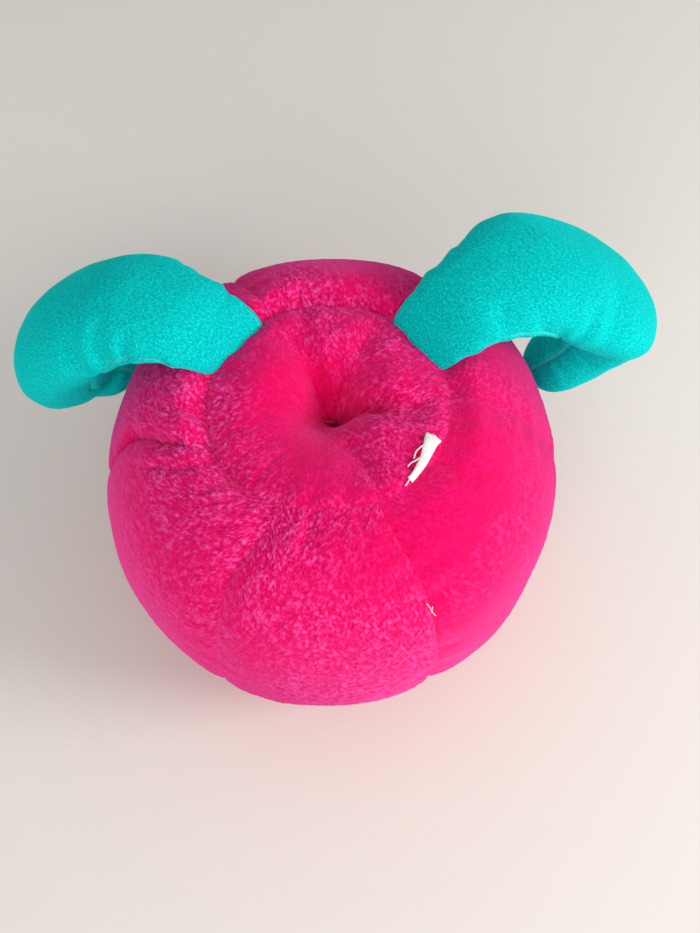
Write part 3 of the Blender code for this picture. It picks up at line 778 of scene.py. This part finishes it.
class Leaf:
    """A leaf's curved centre line, with the points of its outside."""

    def __init__(self, side):
        rows = np.array(LEAVES[side], float)
        padded = np.vstack([2 * rows[0] - rows[1], rows, 2 * rows[-1] - rows[-2]])[:, None, :]
        self.rows = upsample(padded, 24, 0, False)[24:-24, 0]
        steps = np.linalg.norm(np.diff(self.rows[:, :3], axis=0), axis=1)
        self.along = np.concatenate([[0.0], np.cumsum(steps)])
        self.length = self.along[-1]
        self.side = side
        self.root = self.along[24]

    def sample(self, along):
        return np.stack([np.interp(along, self.along, column) for column in self.rows.T], -1)

    def turned(self, along, angle):
        """The place on the oval of an angle round the panels: only the front seam turns under."""
        most, start, end = SEAM_TURN[self.side]
        turn = most * ramp(along - self.root, start, end)
        if self.side == "left":
            return angle - turn * np.cos(np.radians(angle) / 2) ** 2
        return angle + turn * np.sin(np.radians(angle) / 2) ** 2

    def surface(self, along, angle):
        """Points at places along the leaf and angles round its panels; at 90 is the middle of its back."""
        row = self.sample(along)
        step = 0.6
        forward = self.sample(np.minimum(along + step, self.length))
        forward = (forward - self.sample(np.maximum(along - step, 0)))[..., :3]
        forward = forward / np.linalg.norm(forward, axis=-1, keepdims=True)
        start, end = LEAF_WIDTH_AZIMUTH[self.side]
        turn = np.radians(start + (end - start) * along / self.length)
        width = np.stack([-np.sin(turn), np.cos(turn), 0 * turn], -1)
        width -= forward * (width * forward).sum(-1, keepdims=True)
        width /= np.linalg.norm(width, axis=-1, keepdims=True)
        out = np.cross(forward, width)
        into_dome = np.clip((along - self.length + LEAF_DOME) / LEAF_DOME, 0, 1)
        dome = np.sqrt(np.clip(1 - into_dome**2, 0, 1))
        turn = np.radians(self.turned(along, angle))
        half_width, half_thick = row[..., 3] * dome, row[..., 4] * dome
        inset = self.inset(along, angle, half_width)
        across = (half_width - inset) * np.cos(turn)
        outward = (half_thick - inset) * np.sin(turn)
        points = row[..., :3] + across[..., None] * width + outward[..., None] * out
        lumps = 0.35 * noise(points / 9.0, 40) + 0.15 * noise(points / 4.0, 41)
        fade = ramp(along, self.root, self.root + 12) * dome
        side = across[..., None] * width + outward[..., None] * out
        side /= np.maximum(np.linalg.norm(side, axis=-1, keepdims=True), 1e-6)
        return points + side * (lumps * fade)[..., None]

    def inset(self, along, angle, half_width):
        """How far the edge seams and the dents lie below the plain oval."""
        off_seam = np.radians(np.minimum(angle % 180, 180 - angle % 180)) * half_width
        pucker = noise(np.stack([along / 2.4, np.where(np.cos(np.radians(angle)) > 0, 0.0, 9.0)], -1), 42)
        inset = 0.55 * bell(off_seam, 0.8) + 0.3 * pucker * (off_seam / 2) * np.exp(1 - off_seam / 2)
        for place, round_at, depth, reach, spread in LEAF_DENTS[self.side]:
            inset = inset + depth * bell(along - self.root - place, reach) * bell(angle - round_at, spread)
        return inset * ramp(self.length - along, 0, 4)


def leaf_grid(leaf, finer):
    """The outside as a grid: rows along the leaf, columns all the way round from the first seam."""
    share = np.arange(LEAF_ROWS * finer + 1) / (LEAF_ROWS * finer)
    along = (leaf.length - LEAF_END_GAP) * np.sin(share * LEAF_ROW_SWEEP) / math.sin(LEAF_ROW_SWEEP)
    half = 180 * bunched(np.arange(LEAF_COLUMNS * finer) / (LEAF_COLUMNS * finer), 0.35)
    angle, along = np.meshgrid(np.concatenate([half, half + 180]), along)
    return leaf.surface(along, angle), along, angle


def simulate_leaf(grid):
    """Blows the leaf up between its edge seams."""
    rows, columns = grid.shape[:2]
    ids = np.arange(rows * columns).reshape(rows, columns)
    wrapped = np.concatenate([ids, ids[:, :1]], axis=1)
    faces = quads(wrapped).tolist() + [ids[0].tolist(), ids[-1][::-1].tolist()]
    held = np.zeros((rows, columns), bool)
    held[[0, 1, 2, -1]] = True
    held[:, [0, columns // 2]] = True
    moved = blown_up(grid.reshape(-1, 3), faces, held.ravel(), stretch=0.03, pressure=3.0, frames=14)
    return moved.reshape(grid.shape)


def build_leaf(side, look):
    leaf = Leaf(side)
    coarse, fine = leaf_grid(leaf, 1), leaf_grid(leaf, FINER)
    outside, inside = fine[0], coarse[0]
    moved = simulate_leaf(inside)
    outside = outside + upsample(upsample(moved, FINER, 1, True), FINER, 0, False)
    inside = inside + moved
    inner = inside + grid_normals(inside, wraps=True) * LEAF_CLOTH
    for panel, first in (("upper", 0), ("lower", LEAF_COLUMNS)):
        outer_columns = np.arange(first * FINER, (first + LEAF_COLUMNS) * FINER + 1) % outside.shape[1]
        inner_columns = np.arange(first, first + LEAF_COLUMNS + 1) % inside.shape[1]
        face = outside[:, outer_columns]
        steps = np.linalg.norm(np.diff(face, axis=1), axis=-1)
        across = np.concatenate([np.zeros((len(face), 1)), np.cumsum(steps, 1)], axis=1)
        chart = np.stack([across - across[:, -1:] / 2, fine[1][:, outer_columns]], -1)
        edge = np.minimum(across, across[:, -1:] - across)
        piece = closed_panel(
            f"cloth_leaf_{side}_{panel}", face, inner[:, inner_columns], FINER,
            {"edge": np.clip(edge / LEAF_EDGE, 0, 1)}, chart, look,
        )
        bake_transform(piece)
        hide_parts(f"leaf_{side}_{panel}_panel")


# ------------------------------------------------------------------ materials


def new_material(name, colour, roughness):
    """A material, its node tree and its Principled node."""
    made = bpy.data.materials.new(name)
    made.use_nodes = True
    tree = made.node_tree
    shader = tree.nodes["Principled BSDF"]
    shader.inputs["Base Color"].default_value = (*colour, 1)
    shader.inputs["Roughness"].default_value = roughness
    return made, tree, shader


def node(tree, kind, settings=(), values=()):
    made = tree.nodes.new(kind)
    for key, value in dict(settings).items():
        setattr(made, key, value)
    for key, value in dict(values).items():
        made.inputs[key].default_value = value
    return made


def attribute(tree, name):
    return node(tree, "ShaderNodeAttribute", {"attribute_name": name})


def noise_node(tree, vector, scale, detail=2.0, roughness=0.5):
    values = {"Scale": scale, "Detail": detail, "Roughness": roughness}
    made = node(tree, "ShaderNodeTexNoise", (), values)
    tree.links.new(vector, made.inputs["Vector"])
    return made.outputs["Fac"]


def stretched(tree, vector, scale):
    """A texture vector scaled differently along each axis."""
    made = node(tree, "ShaderNodeMapping", (), {"Scale": scale})
    tree.links.new(vector, made.inputs["Vector"])
    return made.outputs["Vector"]


def curve_between(tree, fac, stops):
    """A colour ramp from (position, colour) stops."""
    made = tree.nodes.new("ShaderNodeValToRGB")
    elements = made.color_ramp.elements
    for number, (position, colour) in enumerate(stops):
        element = elements[number] if number < 2 else elements.new(position)
        element.position = position
        element.color = (*colour, 1)
    tree.links.new(fac, made.inputs["Fac"])
    return made.outputs["Color"]


def blended(tree, fac, first, second, mode="MIX"):
    made = node(tree, "ShaderNodeMix", {"data_type": "RGBA", "blend_type": mode})
    for key, value in (("Factor", fac), ("A", first), ("B", second)):
        socket = made.inputs[key]
        if isinstance(value, bpy.types.NodeSocket):
            tree.links.new(value, socket)
        else:
            socket.default_value = value if isinstance(value, float) else (*value, 1)
    return made.outputs["Result"]


def math_node(tree, operation, first, second):
    made = node(tree, "ShaderNodeMath", {"operation": operation})
    for socket, value in zip(made.inputs, (first, second)):
        if isinstance(value, bpy.types.NodeSocket):
            tree.links.new(value, socket)
        else:
            socket.default_value = value
    return made.outputs[0]


def bump(tree, height, strength, distance, below=None):
    made = node(tree, "ShaderNodeBump", (), {"Strength": strength, "Distance": distance})
    tree.links.new(height, made.inputs["Height"])
    if below is not None:
        tree.links.new(below, made.inputs["Normal"])
    return made.outputs["Normal"]


def plush_material():
    """Short pile: deep pink where it lies flat, paler strands over darker gaps where it is brushed up. The darker
    gaps are painted shade and the paler strand tips a painted sheen.
    """
    made, tree, shader = new_material("plush", srgb(230, 4, 90), 0.85)
    chart = node(tree, "ShaderNodeUVMap", {"uv_map": "chart"}).outputs["UV"]
    strand_light_and_shade, shag = attribute(tree, "strand_light_and_shade").outputs["Fac"], attribute(tree, "shag").outputs["Fac"]
    hairs = noise_node(tree, stretched(tree, chart, (2.0, 1.0, 1.0)), 1.6, 3.0, 0.75)
    # painted light along both ramps: darker where strands are low, as painted shade in the gaps, and paler on
    # their tips, as painted sheen
    flat = curve_between(tree, strand_light_and_shade, ((0.0, srgb(226, 0, 70)), (1.0, srgb(252, 0, 112))))
    raised = curve_between(tree, strand_light_and_shade, (
        (0.0, srgb(206, 0, 60)), (1.0, srgb(255, 106, 198)), (0.5, srgb(242, 18, 112)),
    ))
    colour = blended(tree, shag, flat, raised)
    grain = curve_between(tree, hairs, ((0.36, (0.66, 0.56, 0.62)), (0.64, (1.0, 1.0, 1.0))))
    colour = blended(tree, 0.7, colour, grain, "MULTIPLY")
    tree.links.new(colour, shader.inputs["Base Color"])
    shader.inputs["Sheen Weight"].default_value = 1.0
    shader.inputs["Sheen Roughness"].default_value = 0.5
    shader.inputs["Sheen Tint"].default_value = (1.0, 0.15, 0.56, 1)
    shader.inputs["Specular IOR Level"].default_value = 0.015
    tree.links.new(bump(tree, hairs, 0.5, 0.0004), shader.inputs["Normal"])
    return made


def leaf_material():
    """Brushed knit: a short felted nap with pale flecks, and a painted highlight along the edges where the panels
    are stitched together.
    """
    made, tree, shader = new_material("brushed_knit", srgb(0, 205, 190), 0.9)
    place = node(tree, "ShaderNodeTexCoord").outputs["Object"]
    chart = node(tree, "ShaderNodeUVMap", {"uv_map": "chart"}).outputs["UV"]
    edge = attribute(tree, "edge").outputs["Fac"]
    nap = noise_node(tree, place, 2600.0, 3.0, 0.65)
    knit = noise_node(tree, stretched(tree, chart, (1.0, 0.5, 1.0)), 3.4, 2.0, 0.5)
    both = math_node(tree, "MULTIPLY", math_node(tree, "ADD", nap, knit), 0.5)
    colour = curve_between(tree, both, (
        (0.4, srgb(0, 164, 160)), (0.62, srgb(16, 222, 218)), (0.5, srgb(0, 190, 186)),
    ))
    # painted highlight: a paler strip along the edges where the two panels meet
    seam_highlight = curve_between(tree, edge, ((0.06, srgb(70, 225, 214)), (0.22, (0.0, 0.0, 0.0))))
    colour = blended(tree, 0.5, colour, seam_highlight, "LIGHTEN")
    tree.links.new(colour, shader.inputs["Base Color"])
    shader.inputs["Sheen Weight"].default_value = 0.35
    shader.inputs["Sheen Roughness"].default_value = 0.45
    shader.inputs["Sheen Tint"].default_value = (0.0, 0.95, 0.92, 1)
    shader.inputs["Specular IOR Level"].default_value = 0.05
    tree.links.new(bump(tree, both, 0.25, 0.0002), shader.inputs["Normal"])
    return made


def thread_material(name, colour):
    """Twisted thread: slanted plies with a slight gloss."""
    made, tree, shader = new_material(name, colour, 0.6)
    place = node(tree, "ShaderNodeTexCoord").outputs["Object"]
    ply = noise_node(tree, stretched(tree, place, (1.0, 1.0, 2.5)), 2600.0, 1.0, 0.5)
    dark = tuple(0.55 * c for c in colour)
    tree.links.new(curve_between(tree, ply, ((0.3, dark), (0.7, colour))), shader.inputs["Base Color"])
    tree.links.new(bump(tree, ply, 0.4, 0.0001), shader.inputs["Normal"])
    return made


def fibre_material(name, low, high):
    """Loose or pressed fibre: a tangle of pale strands."""
    made, tree, shader = new_material(name, high, 0.95)
    place = node(tree, "ShaderNodeTexCoord").outputs["Object"]
    tangle = noise_node(tree, place, 420.0, 5.0, 0.7)
    tree.links.new(curve_between(tree, tangle, ((0.35, low), (0.65, high))), shader.inputs["Base Color"])
    tree.links.new(bump(tree, tangle, 0.6, 0.0006), shader.inputs["Normal"])
    return made


def ribbon_material():
    """Woven ribbon: fine crossing threads, close to white."""
    made, tree, shader = new_material("ribbon_weave", srgb(246, 244, 238), 0.55)
    chart = node(tree, "ShaderNodeTexCoord").outputs["Object"]
    weave = noise_node(tree, stretched(tree, chart, (1.0, 3.0, 1.0)), 2400.0, 1.0, 0.5)
    tree.links.new(
        curve_between(tree, weave, ((0.3, srgb(226, 222, 212)), (0.7, srgb(252, 251, 247)))),
        shader.inputs["Base Color"],
    )
    tree.links.new(bump(tree, weave, 0.35, 0.0001), shader.inputs["Normal"])
    return made


# ------------------------------------------------------------------ small pieces

# The ribbon's two edges and its loose threads: x, y and height above the plush
RIBBON_RIGHT = (
    (22.6, -8.2, -0.9), (22.3, -9.6, 0.3), (21.4, -10.9, 0.7),
    (19.6, -14.4, 0.9), (18.2, -16.4, 0.8), (16.4, -18.6, 0.4),
)
RIBBON_LEFT = (
    (20.6, -6.8, -0.9), (19.4, -7.8, 0.3), (18.7, -10.8, 0.9),
    (18.0, -13.4, 0.8), (16.6, -16.4, 0.8), (15.5, -17.7, 0.5),
)
FRAYS = (
    ((18.7, -11.0, 0.7), (17.9, -11.9, 1.1), (17.0, -12.7, 1.0), (16.9, -13.6, 0.4)),
    ((17.9, -13.6, 0.7), (17.1, -14.3, 1.0), (16.2, -14.7, 0.9), (15.6, -15.4, 0.4)),
    ((15.9, -18.0, 0.5), (15.5, -18.9, 0.6), (15.0, -19.3, 0.3)),
)
LINT = (
    ((19.2, -39.2, 0.3), (19.9, -39.7, 0.7), (20.4, -40.5, 0.6), (21.2, -40.7, 0.2)),
    ((20.2, -40.4, 0.2), (20.5, -40.0, 0.6), (20.4, -39.4, 0.2)),
)
RIBBON_THICK = 0.28
FRAY_R, LINT_R = 0.13, 0.07


def resting(points, surface):
    """Points given as x, y and a height above the highest plush near them."""
    placed = []
    for x, y, above in points:
        near = np.hypot(surface[:, 0] - x, surface[:, 1] - y) < 0.9
        placed.append((x, y, surface[near, 2].max() + above))
    return placed


def ribbon(look, surface):
    """The cut ribbon end: a thin strip between two given edges."""
    right, left = (
        upsample(np.array(resting(edge, surface))[:, None, :], 6, 0, False)[:, 0]
        for edge in (RIBBON_RIGHT, RIBBON_LEFT)
    )
    share = np.linspace(0, 1, 7)[None, :, None]
    strip = right[:, None] * (1 - share) + left[:, None] * share
    strip[..., 2] += 0.25 * np.sin(np.pi * share[..., 0]) + 0.08 * noise(strip / 1.5, 60)
    under = strip - np.array([0, 0, RIBBON_THICK])
    chart = strip[..., :2]
    piece = closed_panel("woven_ribbon_stub", strip, under, 1, {}, chart, look)
    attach(piece, "ribbon")
    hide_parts("ribbon_stub")
    return piece


def loose_thread(name, points, radius, look, body):
    """A short bent thread as a tube: a curve with a round bevel."""
    curve = bpy.data.curves.new(name, "CURVE")
    curve.dimensions = "3D"
    curve.bevel_depth = radius * MM
    curve.bevel_resolution = 2
    curve.use_fill_caps = True
    spline = curve.splines.new("NURBS")
    spline.points.add(len(points) - 1)
    for target, point in zip(spline.points, points):
        target.co = (*[MM * c for c in point], 1)
    spline.order_u = 3
    spline.use_endpoint_u = True
    made = bpy.data.objects.new(name, curve)
    made.data.materials.append(look)
    bpy.context.scene.collection.objects.link(made)
    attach(made, body)
    return made


# ------------------------------------------------------------------ stage


def build_camera():
    """The photograph's view: from the front, 63 degrees up, 250 mm from the body's middle."""
    elevation, distance = 63.0, 250.0
    tilt = math.radians(elevation)
    target = np.array([4.36, 1.94, 37.99])
    back = np.array([0.0, -math.cos(tilt), math.sin(tilt)])
    data = bpy.data.cameras.new("camera")
    data.lens = 42.06
    data.sensor_width = 36.0
    data.clip_start = 0.01
    camera = bpy.data.objects.new("camera", data)
    camera.location = (target + back * distance) * MM
    camera.rotation_euler = (math.radians(90 - elevation), 0, 0)
    bpy.context.scene.collection.objects.link(camera)
    bpy.context.scene.camera = camera


def area_light(name, place, aim, size, watts, colour=(1, 1, 1)):
    data = bpy.data.lights.new(name, "AREA")
    data.shape = "DISK"
    data.size = size
    data.energy = watts
    data.color = colour
    light = bpy.data.objects.new(name, data)
    light.location = place
    light.rotation_euler = (Vector(aim) - Vector(place)).to_track_quat("-Z", "Y").to_euler()
    bpy.context.scene.collection.objects.link(light)


def build_stage():
    floor_look, tree, shader = new_material("pale_floor", srgb(226, 222, 214), 0.8)
    bpy.ops.mesh.primitive_plane_add(size=6.0, location=(0, 0, -0.0002))
    floor = bpy.context.object
    floor.name = "floor"
    floor.data.materials.append(floor_look)
    area_light("key", (0.54, -0.13, 0.31), (0, 0, 0.04), 0.26, 2.6)
    area_light("fill", (-0.06, -0.6, 0.33), (0, 0, 0.04), 0.6, 2.2)
    world = bpy.data.worlds.new("world")
    world.use_nodes = True
    world.node_tree.nodes["Background"].inputs["Color"].default_value = (*srgb(240, 240, 242), 1)
    world.node_tree.nodes["Background"].inputs["Strength"].default_value = 0.62
    bpy.context.scene.world = world
    bpy.context.scene.view_settings.view_transform = "Standard"


# ------------------------------------------------------------------ assembly

build_stage()
build_camera()
plush = plush_material()
knit = leaf_material()
white = ribbon_material()
surface = build_body(plush)
for leaf_side in ("right", "left"):
    build_leaf(leaf_side, knit)
ribbon(white, surface)
for number, fray in enumerate(FRAYS):
    loose_thread(f"fray_{number}", resting(fray, surface), FRAY_R, white, "ribbon")
for number, lint in enumerate(LINT):
    loose_thread(f"lint_{number}", resting(lint, surface), LINT_R, white, "cushion")

cad_looks = {
    "pink_thread": thread_material("pink_thread_twist", srgb(200, 10, 90)),
    "green_thread": thread_material("green_thread_twist", srgb(0, 160, 148)),
    "white_stuffing": fibre_material("stuffing_fibre", srgb(205, 203, 198), srgb(245, 244, 240)),
    "felt_washer": fibre_material("washer_felt", srgb(190, 186, 176), srgb(226, 222, 212)),
}
slots = {entry["node"]: entry["material_slot"] for entry in frame["record"]["subparts"]}
for name, cad_node in frame["nodes"].items():
    if slots[name] in cad_looks:
        cad_node.data.materials.clear()
        cad_node.data.materials.append(cad_looks[slots[name]])
